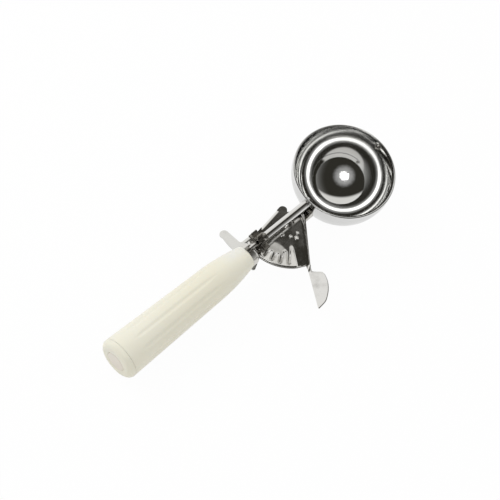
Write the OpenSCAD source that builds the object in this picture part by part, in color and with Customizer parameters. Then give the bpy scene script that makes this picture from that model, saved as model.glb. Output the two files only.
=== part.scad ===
// Lever ice cream scoop: a sprung thumb lever turns a scraper round the bowl.
// X runs along the handle from its butt to the bowl, Z out of the bowl's mouth.
// The origin is the middle of the handle's butt face. All sizes are millimetres.

/* [Bowl] */
// Inside radius of the bowl
bowl_r = 32.5; // [30:0.5:35]
// Thickness of the bowl's wall
bowl_wall = 1; // [0.8:0.1:1.4]
// Height of the rim above the scraper's axis
rim_rise = 4.2; // [4:0.2:7]
// Radius of the rounded bead along the rim
rim_bead_r = 0.62; // [0.55:0.01:0.7]
// Distance from the handle's end to the outside of the bowl
shank_reach = 53.5; // [52.5:0.5:59.5]

/* [Scraper] */
// Width of the scraper blade
blade_w = 7; // [5.4:0.2:7.4]
// Thickness of the scraper blade
blade_t = 0.9; // [0.7:0.1:1.2]
// Gap between the corners of the blade and the bowl
blade_gap = 0.35; // [0.25:0.05:0.8]
// Tilt of the resting blade below the scraper's axis, in degrees
blade_rest_tilt = 2; // [0:0.5:6]
// Diameter of the pin that carries the blade's far end
far_pin_d = 2.4; // [2:0.1:3]
// Diameter of the rivet heads at the ends of the blade
blade_head_d = 5; // [4.2:0.2:5.4]

/* [Shank] */
// Diameter of the scraper rod
rod_d = 3; // [2.6:0.1:3.2]
// Outside diameter of the tube round the rod
tube_d = 5.4; // [5.2:0.1:6]
// Wall of the tube
tube_wall = 0.9; // [0.6:0.1:0.9]
// Height of the scraper's axis above the handle's axis
rod_rise = 6; // [5.8:0.1:6.3]
// Offset of the scraper's axis from the handle's, away from the thumb
rod_side = 1; // [0:0.25:1.5]

/* [Gear] */
// Number of teeth on the pinion
pinion_teeth = 8; // [7:1:8]
// Outside diameter of the pinion
pinion_d = 15; // [14.6:0.1:15.2]
// Diameter at the bottom of the pinion's teeth
pinion_root_d = 8.8; // [8:0.2:9.2]
// Width of the pinion along the rod
pinion_w = 4.4; // [3.6:0.2:4.6]
// Width of a pinion tooth at its tip
tooth_tip_w = 1; // [0.8:0.1:1]
// Width of a pinion tooth at its root
tooth_root_w = 2; // [1.8:0.1:2]
// Angle between the teeth of the lever, in degrees
rack_pitch = 10.8; // [10.4:0.1:11.2]
// Distance from the lever's pivot to the middle of the pinion
mesh_r = 27.5; // [27.2:0.1:27.8]
// Turn of the lever from rest to its stop, in degrees
lever_travel = 42; // [30:1:42]

/* [Lever] */
// Thickness of the lever's sheet
lever_t = 1.2; // [1:0.1:1.4]
// Distance from the outside of the bowl back to the lever's pivot
pivot_back = 14.5; // [14:0.25:15.5]
// Depth of the lever's face below the scraper's axis
lever_drop = 8; // [7.9:0.1:8.4]
// Outside radius of the lever's flat fan
sector_r = 31.5; // [31.2:0.1:31.8]
// Outside radius of the raised rim beyond the teeth
rack_rim_r = 33; // [32.4:0.1:33.1]
// Radius at which the lever's teeth start
rack_inner_r = 24; // [23.4:0.2:24.6]
// Radius at which the spaces between the lever's teeth end
rack_outer_r = 31; // [30.9:0.1:31.2]
// Width of the spaces between the teeth at their outer end
rack_space_w = 2.7; // [2.6:0.1:2.8]
// Height of the lever's teeth above its face
rack_rise = 2.4; // [2.2:0.1:2.4]
// Diameter of the stud that the lever turns on
stud_d = 5; // [4.4:0.2:5.4]
// Width of the turned-up edge at the lever's hub
flange_w = 2.7; // [2.2:0.1:3.2]
// Angle at which the thumb tab is turned up, in degrees
tab_angle = 50; // [40:2:60]
// Length of the thumb tab past the sector
tab_len = 31; // [29:0.5:34]
// Greatest width of the thumb tab
tab_w = 14.2; // [12.4:0.2:15.2]

/* [Frame] */
// Thickness of the frame's sheet
frame_t = 1.1; // [0.9:0.1:1.3]
// Outside width of the frame's channel
frame_w = 12; // [11.6:0.2:12.6]
// Height of the frame's channel
frame_h = 5.2; // [4.8:0.1:5.6]
// Width of the tang that runs into the handle
tang_w = 6.6; // [5:0.2:6.8]
// Length of the tang inside the handle
tang_len = 62; // [40:2:80]

/* [Return spring] */
// Diameter of the spring's wire
wire_d = 1; // [0.8:0.1:1.1]
// Number of turns in the spring
spring_turns = 3; // [2:1:3]

/* [Handle] */
// Length of the handle without its ferrule
handle_len = 111; // [109:0.5:112]
// Diameter of the handle at its butt
butt_d = 28; // [25:0.5:30]
// Diameter of the handle where its shoulder begins
shoulder_d = 23.6; // [22:0.2:25]
// Diameter of the handle at its neck
neck_d = 15.4; // [15.2:0.2:16.4]
// Distance from the butt to the start of the shoulder
shoulder_x = 80; // [70:1:86]
// Radius of the edge round the butt
butt_edge_r = 4; // [2:0.5:6]
// Number of grooves along the handle
groove_count = 10; // [8:1:12]
// Depth of the grooves
groove_depth = 0.45; // [0.3:0.05:0.6]
// Radius of the grooves' round bottoms
groove_r = 2.2; // [1.8:0.1:3]
// Diameter of the plug in the butt
plug_d = 13.6; // [10:0.4:16]

/* [Ferrule] */
// Length of the ferrule in front of the handle
ferrule_len = 5.5; // [5:0.1:5.5]
// Wall of the ferrule
ferrule_wall = 0.8; // [0.6:0.1:1]

/* [Finger rest] */
// Thickness of the finger rest's sheet
rest_t = 1; // [0.8:0.1:1.2]
// Width of the finger rest's leaf
leaf_w = 6; // [5:0.2:6.4]
// Reach of the leaf from the handle's axis
leaf_reach = 25; // [20:0.5:28]
// Angle at which the leaf droops, in degrees
leaf_droop = 12; // [4:2:20]

/* [Hidden] */
$fn = 96;
eps = 0.01;
run_gap = 0.05;      // radial gap of a running fit
seat_gap = 0.05;     // gap between faces that stay together
press_gap = 0.02;    // radial gap of a pressed or brazed joint
free_gap = 0.4;      // gap between parts that move past each other

// Heights that start from the scraper's axis.
lever_top = -lever_drop;
lever_under = lever_top - lever_t;
rack_top = lever_top + rack_rise;
channel_top = lever_under - free_gap;
channel_bottom = channel_top - frame_h;
channel_floor = channel_bottom + frame_t;

// Places along the handle's axis.
bowl_outer_r = bowl_r + bowl_wall;
bowl_x = handle_len + shank_reach + bowl_outer_r;
pivot_x = bowl_x - bowl_outer_r - pivot_back;
pinion_x = pivot_x - mesh_r;
collar_len = 3;
tube_back_x = pinion_x + pinion_w / 2 + collar_len + free_gap;
tube_front_x = bowl_x - bowl_outer_r - seat_gap;
ferrule_x = handle_len + ferrule_len;

// The blade is a half ring whose corners just clear the bowl.
band_r = sqrt(pow(bowl_r - blade_gap, 2) - pow(blade_w / 2, 2));
band_in_r = band_r - blade_t;

// ---------- helpers ----------

// Puts its children on the scraper's axis, which lies beside and above the handle's.
module on_rod(x = 0) {
    translate([x, rod_side, rod_rise]) children();
}

// A cylinder along X from x0 to x1.
module bar_x(x0, x1, r) {
    translate([x0, 0, 0]) rotate([0, 90, 0]) cylinder(r = r, h = x1 - x0);
}

// A pipe along X from x0 to x1.
module pipe_x(x0, x1, r_out, r_in) {
    difference() {
        bar_x(x0, x1, r_out);
        bar_x(x0 - 1, x1 + 1, r_in);
    }
}

// A low dome of diameter d and height h on the plane z = 0.
module dome(d, h) {
    ball_r = (d * d / 4 + h * h) / (2 * h);
    intersection() {
        translate([0, 0, h - ball_r]) sphere(r = ball_r);
        cylinder(d = d + 1, h = h + 1);
    }
}

// Lays a solid of revolution along X: its Z becomes X.
module lay_x(x = 0) {
    translate([x, 0, 0]) rotate([0, 90, 0]) children();
}

// Draws a side view: the profile's x and y become X and Z, and its thickness is centred on Y.
module side_view(width) {
    translate([0, width / 2, 0]) rotate([90, 0, 0]) linear_extrude(width) children();
}

// Unit vector at an angle.
function dir(a) = [cos(a), sin(a)];

// Where two lines meet; a line has the angle of its normal and its distance from the origin.
function meet(a1, d1, a2, d2) =
    let (det = sin(a2 - a1))
    [(d1 * sin(a2) - d2 * sin(a1)) / det, (d2 * cos(a1) - d1 * cos(a2)) / det];

// ---------- handle ----------

cap_x = butt_edge_r + 0.6;
seam_depth = 0.25;
taper = atan((butt_d - shoulder_d) / 2 / (shoulder_x - butt_edge_r));
neck_run = handle_len - shoulder_x;
neck_fall = (shoulder_d - neck_d) / 2;
neck_arc_r = norm([neck_run, neck_fall]) / 2 / sin(atan(neck_fall / neck_run) - taper);
spigot_r = neck_d / 2 - ferrule_wall - seat_gap;
spigot_len = 2.4;
groove_start = 12.5;
groove_run = shoulder_x - groove_start + 20;

tang_top = rod_rise + channel_top;
tang_t = 2 * frame_t;
tang_back_x = handle_len - tang_len;
key_r = 1.3;
key_xs = [tang_back_x + 8, tang_back_x + 24];

// Radius of the tapered part of the handle.
function taper_r(x) = butt_d / 2 - (x - butt_edge_r) * tan(taper);

module handle_outline() {
    polygon([[0, cap_x], [taper_r(cap_x) - seam_depth, cap_x],
        [taper_r(cap_x + seam_depth), cap_x + seam_depth],
        [shoulder_d / 2, shoulder_x], [0, shoulder_x]]);
    intersection() {
        translate([shoulder_d / 2 - neck_arc_r * cos(taper), shoulder_x - neck_arc_r * sin(taper)])
            circle(r = neck_arc_r, $fn = 1440);
        translate([0, shoulder_x - eps]) square([shoulder_d, neck_run + eps]);
    }
}

// A round-bottomed groove that runs out where the shoulder falls away.
module groove_cutter() {
    translate([groove_start, 0, taper_r(groove_start) - groove_depth + groove_r])
        rotate([0, 90 + taper, 0]) cylinder(r = groove_r, h = groove_run);
}

module tang_bar(gap) {
    translate([tang_back_x - gap, -tang_w / 2 - gap, tang_top - tang_t - gap])
        cube([tang_len + ferrule_len + 8, tang_w + 2 * gap, tang_t + 2 * gap]);
}

module handle_body() {
    color("#e6e3cf") {
        difference() {
            union() {
                lay_x() rotate_extrude() handle_outline();
                bar_x(handle_len - 1, handle_len + spigot_len, spigot_r);
            }
            for (i = [0 : groove_count - 1])
                rotate([i * 360 / groove_count, 0, 0]) groove_cutter();
            difference() {
                tang_bar(seat_gap);
                for (x = key_xs) translate([x, 0, tang_top - 5]) cylinder(r = key_r - seat_gap, h = 8);
            }
            on_rod() bar_x(handle_len, handle_len + 10, bearing_r + seat_gap);
        }
    }
}

plug_depth = 2;
plug_groove = 0.35;
plug_stem_d = 6;

module handle_end_cap() {
    flat_r = butt_d / 2 - butt_edge_r;
    rim_x = cap_x - seat_gap;
    color("#e3dfca")
    difference() {
        lay_x() rotate_extrude() {
            square([flat_r, butt_edge_r + eps]);
            polygon([[0, butt_edge_r], [butt_d / 2, butt_edge_r], [butt_d / 2, rim_x - seam_depth],
                [butt_d / 2 - seam_depth, rim_x], [0, rim_x]]);
            intersection() {
                translate([flat_r, butt_edge_r]) circle(r = butt_edge_r);
                translate([flat_r - eps, 0]) square([butt_edge_r + 1, butt_edge_r]);
            }
        }
        bar_x(-1, plug_depth + seat_gap, plug_d / 2 + plug_groove);
        bar_x(-1, cap_x + 1, plug_stem_d / 2 + press_gap);
    }
}

module butt_plug() {
    color("#e2dccd") {
        bar_x(0, plug_depth, plug_d / 2);
        bar_x(plug_depth - eps, cap_x - seat_gap, plug_stem_d / 2);
    }
}

// ---------- ferrule ----------

ferrule_r = neck_d / 2;
ferrule_edge_r = 2.2;
bearing_r = rod_d / 2 + 0.9;
bearing_len = 2.6;
bearing_x = handle_len + seat_gap;
slot_gap = 0.7;

module ferrule() {
    color("silver")
    difference() {
        lay_x(handle_len + seat_gap) rotate_extrude() difference() {
            union() {
                square([ferrule_r - ferrule_edge_r, ferrule_len]);
                square([ferrule_r, ferrule_len - ferrule_edge_r]);
                translate([ferrule_r - ferrule_edge_r, ferrule_len - ferrule_edge_r])
                    intersection() {
                        circle(r = ferrule_edge_r);
                        square(ferrule_edge_r + 1);
                    }
            }
            translate([-1, -1])
                square([ferrule_r - ferrule_wall + 1, ferrule_len - ferrule_wall + 1]);
        }
        on_rod() {
            bar_x(handle_len - 1, bearing_x + bearing_len + seat_gap, bearing_r + seat_gap);
            translate([handle_len + 1, -rod_d / 2 - slot_gap, -rod_d / 2 - slot_gap])
                cube([ferrule_len + 1, rod_d + 2 * slot_gap, ferrule_r]);
        }
        tang_bar(seat_gap);
    }
}

module rod_bearing() {
    color("silver") on_rod()
        pipe_x(bearing_x, bearing_x + bearing_len, bearing_r, rod_d / 2 + run_gap);
}

// ---------- frame ----------

ramp_back_x = ferrule_x + 11;
ramp_front_x = ramp_back_x + 9;
saddle_back_x = pivot_x + 12;
frame_under = 9.5;       // how far the frame reaches under the bowl
frame_front_x = bowl_x - bowl_outer_r + frame_under;
finger_rivet_xs = [ferrule_x + 3.4, ferrule_x + 8.2];
finger_rivet_r = 1.1;
saddle_rivet_x = saddle_back_x + 2.4;
saddle_rivet_y = 1.4;
saddle_rivet_r = 0.9;
cheek_rise_x = pivot_x + 10.8;
cheek_rise = 4.2;

// The bowl's outside, larger by gap, to cut what is welded to it.
module bowl_shape(gap) {
    on_rod(bowl_x) {
        sphere(r = bowl_outer_r + gap, $fn = 180);
        cylinder(r = bowl_outer_r + gap, h = rim_rise + 5, $fn = 180);
    }
}

// Plan of the frame, inset by the sheet's thickness for the hollow.
// Its far wall steps out behind the pivot, where the lever rests against it, and in beside the tube.
module frame_plan(inset) {
    tail = tang_w / 2 - inset;
    near = rod_side - frame_w / 2 + inset;
    far = frame_w / 2 - inset;
    polygon([[ramp_back_x, -tail], [ramp_front_x, near], [frame_front_x, near],
        [frame_front_x, rod_side + far - 2.3], [pivot_x + 5 - 0.4 * inset, rod_side + far - 2.3],
        [pivot_x + 1.5, rod_side + far + 0.6], [ramp_front_x, stop_wall_y - inset], [ramp_back_x, tail]]);
}

// Side view of the frame between its floor and its top edge, which rises beside the bowl.
module frame_side(floor_z, tail_z, top_z) {
    side_view(60) polygon([[ramp_back_x, tail_z], [ramp_front_x, floor_z], [frame_front_x, floor_z],
        [frame_front_x, top_z + cheek_rise], [cheek_rise_x + cheek_rise, top_z + cheek_rise],
        [cheek_rise_x, top_z], [ramp_back_x, top_z]]);
}

module frame_channel() {
    top = rod_rise + channel_top;
    bottom = rod_rise + channel_bottom;
    color("silver")
    difference() {
        union() {
            intersection() {
                translate([0, 0, bottom - 1]) linear_extrude(frame_h + cheek_rise + 2) frame_plan(0);
                frame_side(bottom, tang_top - tang_t, top);
            }
            translate([tang_back_x, -tang_w / 2, tang_top - tang_t])
                cube([ramp_back_x + 0.5 - tang_back_x, tang_w, tang_t]);
        }
        intersection() {
            translate([0, 0, bottom - 1]) linear_extrude(frame_h + cheek_rise + 3) frame_plan(frame_t);
            frame_side(bottom + frame_t, top - frame_t, top + 1);
        }
        bowl_shape(seat_gap);
        for (x = key_xs) translate([x, 0, tang_top - 5]) cylinder(r = key_r, h = 8);
        for (x = finger_rivet_xs)
            translate([x, 0, tang_top - 5]) cylinder(r = finger_rivet_r + press_gap, h = 8);
        for (s = [-1, 1])
            on_rod(saddle_rivet_x) translate([0, s * saddle_rivet_y, channel_bottom - 1])
                cylinder(r = saddle_rivet_r + press_gap, h = 4);
        on_rod(pivot_x) translate([0, 0, channel_bottom - 1]) cylinder(d = stud_d + 2 * press_gap, h = 4);
        on_rod(pivot_x) translate([post_p.x, post_p.y, channel_bottom - 1])
            cylinder(r = post_r + press_gap, h = 4);
    }
}

// A fork of sheet that stands in the channel; the tube is brazed into the hollow of its top.
module tube_saddle() {
    cheek_out = tube_d / 2 - 0.1;
    cheek_in = cheek_out - frame_t + 0.1;
    foot_z = channel_floor + seat_gap;
    color("silver")
    difference() {
        on_rod() difference() {
            side_view(2 * cheek_out)
                polygon([[saddle_back_x, foot_z], [saddle_back_x, lever_top + 1],
                    [saddle_back_x - 1.4, lever_top + 2.6], [saddle_back_x - 1.4, -0.4],
                    [frame_front_x, -0.4], [frame_front_x, foot_z]]);
            translate([saddle_back_x - 4, -cheek_in, foot_z + frame_t]) cube([30, 2 * cheek_in, 20]);
            bar_x(saddle_back_x - 4, bowl_x, tube_d / 2 + press_gap);
        }
        bowl_shape(seat_gap);
        for (s = [-1, 1])
            on_rod(saddle_rivet_x) translate([0, s * saddle_rivet_y, channel_bottom - 1])
                cylinder(r = saddle_rivet_r + press_gap, h = 5);
    }
}

module saddle_rivets() {
    rivet_top = channel_floor + seat_gap + frame_t;
    color("silver")
    for (s = [-1, 1]) on_rod(saddle_rivet_x) translate([0, s * saddle_rivet_y, 0]) {
        translate([0, 0, channel_bottom]) cylinder(r = saddle_rivet_r, h = rivet_top - channel_bottom);
        translate([0, 0, rivet_top - eps]) dome(2 * saddle_rivet_r, 0.4);
        translate([0, 0, channel_bottom]) mirror([0, 0, 1]) dome(2 * saddle_rivet_r + 1.2, 0.6);
    }
}

// ---------- bowl ----------

bush_r = 2.5;

module bowl() {
    color("#dcdcdc")
    on_rod(bowl_x) difference() {
        union() {
            rotate_extrude($fn = 180) difference() {
                intersection() {
                    circle(r = bowl_outer_r, $fn = 360);
                    translate([0, -bowl_outer_r - 1]) square(bowl_outer_r + 1);
                }
                circle(r = bowl_r, $fn = 360);
            }
            rotate_extrude($fn = 180) translate([bowl_r, 0]) square([bowl_wall, rim_rise - rim_bead_r]);
            rotate_extrude($fn = 180) translate([bowl_outer_r - rim_bead_r + 0.1, rim_rise - rim_bead_r])
                circle(r = rim_bead_r, $fn = 48);
        }
        bar_x(-bowl_outer_r - 2, 0, bush_r + press_gap);
        bar_x(0, bowl_outer_r + 2, far_pin_d / 2 + press_gap);
    }
}

module rod_bush() {
    color("silver") on_rod(bowl_x)
        pipe_x(-bowl_outer_r, -bowl_r + 0.1, bush_r, rod_d / 2 + run_gap);
}

// ---------- shank and scraper ----------

rod_back_x = bearing_x + 0.4;
rod_front_x = bowl_x - band_in_r + 0.8;
head_h = 1.3;
// where a flat head of the blade's rivets meets the blade's round inside
blade_face = sqrt(pow(band_in_r, 2) - pow(blade_head_d / 2, 2)) - seat_gap;

module shank_tube() {
    color("silver") on_rod()
        pipe_x(tube_back_x, tube_front_x, tube_d / 2, tube_d / 2 - tube_wall);
}

module scraper_rod() {
    color("silver") on_rod() difference() {
        bar_x(rod_back_x, rod_front_x, rod_d / 2);
        translate([pin_x, 0, -10]) cylinder(r = pin_r + press_gap, h = 20);
    }
}

// Turns its children about the scraper's axis to the blade's place at rest.
module at_blade() {
    on_rod(bowl_x) rotate([blade_rest_tilt, 0, 0]) children();
}

module scraper_blade() {
    ear = asin(blade_w / 2 / band_r);
    color("#d8d8d8") at_blade() difference() {
        union() {
            translate([0, 0, -blade_w / 2]) rotate([0, 0, 180]) rotate_extrude(angle = 180, $fn = 180)
                translate([band_in_r, 0]) square([blade_t, blade_w]);
            intersection() {
                translate([0, 0, -blade_w / 2]) rotate([0, 0, 90]) rotate_extrude($fn = 180)
                    translate([band_in_r, 0]) square([blade_t, blade_w]);
                bar_x(-band_r - 1, band_r + 1, blade_w / 2);
            }
        }
        bar_x(-band_r - 1, 0, rod_d / 2 + press_gap);
        bar_x(0, band_r + 1, far_pin_d / 2 + run_gap);
    }
}

module blade_hub() {
    color("silver") at_blade() difference() {
        translate([-blade_face, 0, 0]) rotate([0, 90, 0]) dome(blade_head_d, head_h);
        bar_x(-band_in_r - 1, -band_in_r + 0.9, rod_d / 2 + press_gap);
    }
}

washer_t = 0.4;

module far_pivot_pin() {
    head_x = blade_face - washer_t - seat_gap;
    color("silver") on_rod(bowl_x) {
        bar_x(head_x, bowl_outer_r + 0.1, far_pin_d / 2);
        translate([head_x, 0, 0]) rotate([0, -90, 0]) dome(blade_head_d - 0.4, head_h);
        translate([bowl_outer_r + seat_gap, 0, 0]) rotate([0, 90, 0]) dome(far_pin_d + 1.2, 0.6);
    }
}

module far_pivot_washer() {
    color("silver") on_rod(bowl_x)
        pipe_x(blade_face - washer_t, blade_face, blade_head_d / 2, far_pin_d / 2 + press_gap);
}

// ---------- gear ----------

// Angles of the spaces between the lever's teeth, seen from the pivot.
space_first = 226.3;
space_count = 6;
collar_r = 3.3;
pin_r = 0.6;
pin_x = pinion_x + pinion_w / 2 + collar_len / 2;

// The pinion tooth that lies in the space nearest to the scraper's axis points to its middle.
mesh_space = space_first - 4 * rack_pitch;
pinion_phase = (180 - mesh_space) * 360 / pinion_teeth / rack_pitch;

module pinion() {
    root = pinion_root_d / 2;
    color("#8f8f8f") on_rod() difference() {
        translate([pinion_x - pinion_w / 2, 0, 0]) rotate([90, 0, 90]) linear_extrude(pinion_w) {
            circle(r = root);
            for (i = [0 : pinion_teeth - 1])
                rotate(-90 + pinion_phase + i * 360 / pinion_teeth)
                    polygon([[root - 1, -tooth_root_w / 2], [root, -tooth_root_w / 2],
                        [pinion_d / 2, -tooth_tip_w / 2], [pinion_d / 2, tooth_tip_w / 2],
                        [root, tooth_root_w / 2], [root - 1, tooth_root_w / 2]]);
        }
        bar_x(pinion_x - pinion_w, pinion_x + pinion_w, rod_d / 2 + press_gap);
    }
}

module pinion_collar() {
    start = pinion_x + pinion_w / 2 + seat_gap;
    color("#a0a0a0") on_rod() difference() {
        pipe_x(start, start + collar_len - seat_gap, collar_r, rod_d / 2 + press_gap);
        translate([pin_x, 0, -10]) cylinder(r = pin_r + press_gap, h = 20);
    }
}

module pinion_pin() {
    color("silver") on_rod(pin_x) translate([0, 0, -collar_r - 0.3]) cylinder(r = pin_r, h = 2 * collar_r + 0.6);
}

// ---------- thumb lever ----------

right_a = -37.4;     // direction of the turned-up edge's outward normal
right_d = 8.85;      // distance of that edge from the pivot
left_a = 98.6;       // and of the turned-down edge
left_d = 10.35;
hub_r = 11.5;        // radius of the plate's front, which clears the frame
ear_r = 3;           // radius of the ear at the plate's far front corner
ear_c = (left_d - ear_r) * dir(left_a) + 4.05 * dir(left_a - 90);
rack_tip_w = 1.2;
rim_edge_w = 0.9;
rim_edge_drop = 0.35;
rack_end_a = space_first + 10.2;
fold_r = 0.8;        // inside radius of the bends
reach = 90;

// Distance along the turned-up edge from the foot of its normal to a radius about the pivot.
function fold_at(r) = sqrt(r * r - right_d * right_d);
tab_start = -fold_at(sector_r);

// Plan of the flat sheet and, past the fold, of everything the turned-up edge may cover.
module lever_plan() {
    hub_p = hub_r * dir(8);
    rotate(right_a) translate([right_d - 1.5, tab_start - 50]) square([reach, 50.4]);
    intersection() {
        circle(r = sector_r, $fn = 360);
        union() {
            intersection() {
                circle(r = hub_r, $fn = 180);
                polygon([[0, 0], 2 * hub_r * dir(8), 2 * hub_r * dir(-30), 2 * hub_r * dir(-80)]);
            }
            translate(ear_c) circle(r = ear_r);
            polygon([ear_c + ear_r * dir(left_a), ear_c + ear_r * dir(-62), hub_p,
                hub_r * dir(-35), hub_r * dir(-35) + reach * dir(right_a - 90),
                ear_c + ear_r * dir(left_a) + reach * dir(left_a + 90)]);
        }
    }
}

// Section of a sheet that is flat up to x = 0 and then turned up; w is the width past the bend.
module turned_up(angle, w) {
    translate([-reach, -lever_t]) square([reach, lever_t]);
    intersection() {
        translate([0, fold_r]) difference() {
            circle(r = fold_r + lever_t);
            circle(r = fold_r);
        }
        translate([0, fold_r]) polygon([[0, 0], [0, -9], [9 * tan(angle / 2), -9], 9 * [sin(angle), -cos(angle)]]);
    }
    translate([0, fold_r]) rotate(angle) translate([0, -fold_r - lever_t]) square([w, lever_t]);
}

// Stands in the turned-up edge's own place: x is outward, y runs along the fold towards the hub.
module at_fold() {
    rotate([0, 0, right_a]) translate([right_d, 0, lever_top]) children();
}

// Outline of the turned-up edge and the thumb tab in their own plane: x is the width from the fold,
// y runs along the fold, and the tab starts at the fan's corner.
module tab_plan() {
    edge = flange_w - 0.8;
    polygon([[-1, hub_r + 5], [flange_w, hub_r + 5], [flange_w, fold_at(hub_r) - 3],
        [edge, tab_start + 1], [edge, tab_start - 0.1], [-1, tab_start - 0.1]]);
    translate([0, tab_start]) {
        intersection() {
            union() {
                translate([0.6, -0.6 * tab_len]) circle(r = tab_w - 0.6, $fn = 180);
                translate([-1, -12]) square([6, 13]);
            }
            polygon([[-0.3, 0.5], [edge, 0.5], [edge + 0.1, -2.4], [edge + 0.9, -4.9], [edge + 2, -5.9],
                [tab_w - 3.4, -8.6], [tab_w - 2.3, -9.5], [tab_w - 1.5, -11], [tab_w - 0.7, -13.3],
                [tab_w + 1, -16], [tab_w + 1, 8.5 - tab_len], [tab_w - 3.8, 2.7 - tab_len],
                [4.8, -tab_len], [4.3, 0.2 - tab_len]]);
        }
    }
}

// The turned-down edge that rests against the frame when the lever is released.
stop_depth = 3;
stop_front = -1.5;
stop_wall_y = rod_side - seat_gap
    + (left_d - lever_t - (ramp_front_x - pivot_x) * cos(left_a)) / sin(left_a);
stop_back = (pivot_x - ramp_front_x) / sin(left_a) + 1.2;

module stop_edge() {
    rotate([0, 0, left_a - 90]) translate([-stop_back, left_d, lever_top]) rotate([90, 0, 90])
        linear_extrude(stop_back - stop_front) {
            translate([-lever_t, -lever_t - stop_depth]) square([lever_t, stop_depth + lever_t - 1.6]);
            intersection() {
                translate([-1.6, -1.6]) difference() {
                    circle(r = 1.6);
                    circle(r = 0.4);
                }
                translate([-1.6, -1.6]) square(3);
            }
            translate([-2.4, -lever_t]) square([0.8, lever_t]);
        }
}

// Plan of the teeth and the rim that joins their outer ends.
space_c = rack_outer_r - rack_space_w / 2;
tooth_end = [space_c * cos(rack_pitch / 2) + rack_space_w / 2 * sin(rack_pitch / 2),
    space_c * sin(rack_pitch / 2) - rack_space_w / 2 * cos(rack_pitch / 2)];

module rack_tooth(inner_r) {
    tip = inner_r + rack_tip_w / 2;
    translate([tip, 0]) circle(d = rack_tip_w, $fn = 48);
    polygon([[tip, -rack_tip_w / 2], [tooth_end.x, -tooth_end.y], [tooth_end.x + 1, -tooth_end.y],
        [tooth_end.x + 1, tooth_end.y], [tooth_end.x, tooth_end.y], [tip, rack_tip_w / 2]]);
}

module rack_plan() {
    difference() {
        intersection() {
            difference() {
                circle(r = sector_r, $fn = 360);
                circle(r = space_c, $fn = 360);
            }
            polygon([[0, 0], reach * dir(150), reach * dir(190), reach * dir(rack_end_a)]);
            lever_plan();
        }
        for (i = [0 : space_count - 1]) rotate(space_first - i * rack_pitch) {
            translate([space_c, 0]) circle(d = rack_space_w);
            translate([space_c - 2, -rack_space_w / 2]) square([2, rack_space_w]);
        }
    }
    for (i = [1 : space_count - 1]) rotate(space_first - (i - 0.5) * rack_pitch)
        rack_tooth(i == 1 ? rack_inner_r - 2.8 : rack_inner_r);
    // the last tooth is longer and wider than the rest
    polygon([18.8 * dir(space_first + 5), tooth_end.x * dir(space_first + 2.35),
        (tooth_end.x + 1) * dir(space_first + 2.35), (tooth_end.x + 1) * dir(rack_end_a),
        18.8 * dir(space_first + 9.4)]);
    translate(18.8 * dir(space_first + 7.2)) circle(r = 18.8 * sin(2.2), $fn = 48);
}

// The raised rim, thinner than the teeth are tall, with a step turned along its edge.
module rack_rim() {
    intersection() {
        translate([0, 0, rack_top]) rotate_extrude($fn = 360)
            polygon([[sector_r - 0.8, -lever_t], [sector_r - 0.8, 0], [rack_rim_r - rim_edge_w, 0],
                [rack_rim_r - rim_edge_w, -rim_edge_drop], [rack_rim_r, -rim_edge_drop],
                [rack_rim_r, -lever_t]]);
        linear_extrude(40, center = true)
            polygon([[0, 0], reach * dir(left_a + 75.6), reach * dir(190), reach * dir(rack_end_a)]);
    }
}

dimple_r = 9.8;

lug_r = 0.6;
lug_p = 5.9 * dir(203);

module thumb_lever() {
    fold_back = fold_r * tan(tab_angle / 2);
    color("#b9b6b0") on_rod(pivot_x) difference() {
        union() {
            intersection() {
                // the sheet, turned up along the near side
                at_fold() translate([-fold_back, hub_r + 6, 0]) rotate([90, 0, 0])
                    linear_extrude(hub_r + 6 - tab_start + tab_len) turned_up(tab_angle, tab_w + 4);
                translate([0, 0, -reach / 2]) linear_extrude(reach) lever_plan();
                at_fold() rotate([0, -tab_angle, 0]) linear_extrude(reach, center = true) {
                    tab_plan();
                    translate([0.05 - reach, tab_start - 0.3]) square([reach, reach]);
                }
            }
            translate([0, 0, lever_top - 0.3]) linear_extrude(rack_rise + 0.3) rack_plan();
            rack_rim();
            stop_edge();
            for (a = [202, 234.5, 267])
                translate([dimple_r * cos(a), dimple_r * sin(a), lever_top - 0.1]) dome(2.2, 0.55);
            translate([11.6 * cos(252), 11.6 * sin(252), lever_top - 0.1]) dome(2.2, 0.55);
            translate([lug_p.x, lug_p.y, lever_under - wire_d - 0.6]) cylinder(r = lug_r, h = wire_d + 1);
        }
        translate([0, 0, lever_under - 1]) cylinder(d = stud_d + 2 * run_gap, h = lever_t + 2);
        // the sheet behind the turned-down edge
        rotate([0, 0, left_a - 90]) translate([-stop_back, left_d - 1.6, lever_under - 1])
            difference() {
                cube([stop_back - stop_front, 6, lever_t + 2]);
                translate([-1, 0, 1 + lever_t - 1.6]) rotate([0, 90, 0]) cylinder(r = 1.6, h = reach);
            }
    }
}

// ---------- pivot and return spring ----------

stud_head_d = 8;
stud_head_h = 1.2;
bush_wall = 0.55;
coil_r = stud_d / 2 + press_gap + bush_wall + 0.25 + wire_d / 2;
post_r = 0.6;
post_a = 142;
post_p = 5.9 * dir(post_a);

module lever_stud() {
    washer_top = lever_top + seat_gap + washer_t;
    color("silver") on_rod(pivot_x) {
        translate([0, 0, channel_bottom - eps])
            cylinder(d = stud_d, h = washer_top + seat_gap - channel_bottom + 2 * eps);
        translate([0, 0, washer_top + seat_gap]) dome(stud_head_d, stud_head_h);
        translate([0, 0, channel_bottom]) mirror([0, 0, 1]) dome(stud_d + 3, 0.9);
    }
}

module stud_washer() {
    color("#c9c9c9") on_rod(pivot_x) translate([0, 0, lever_top + seat_gap]) difference() {
        cylinder(d = stud_head_d + 1, h = washer_t);
        translate([0, 0, -1]) cylinder(d = stud_d + 2 * press_gap, h = 3);
    }
}

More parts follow.
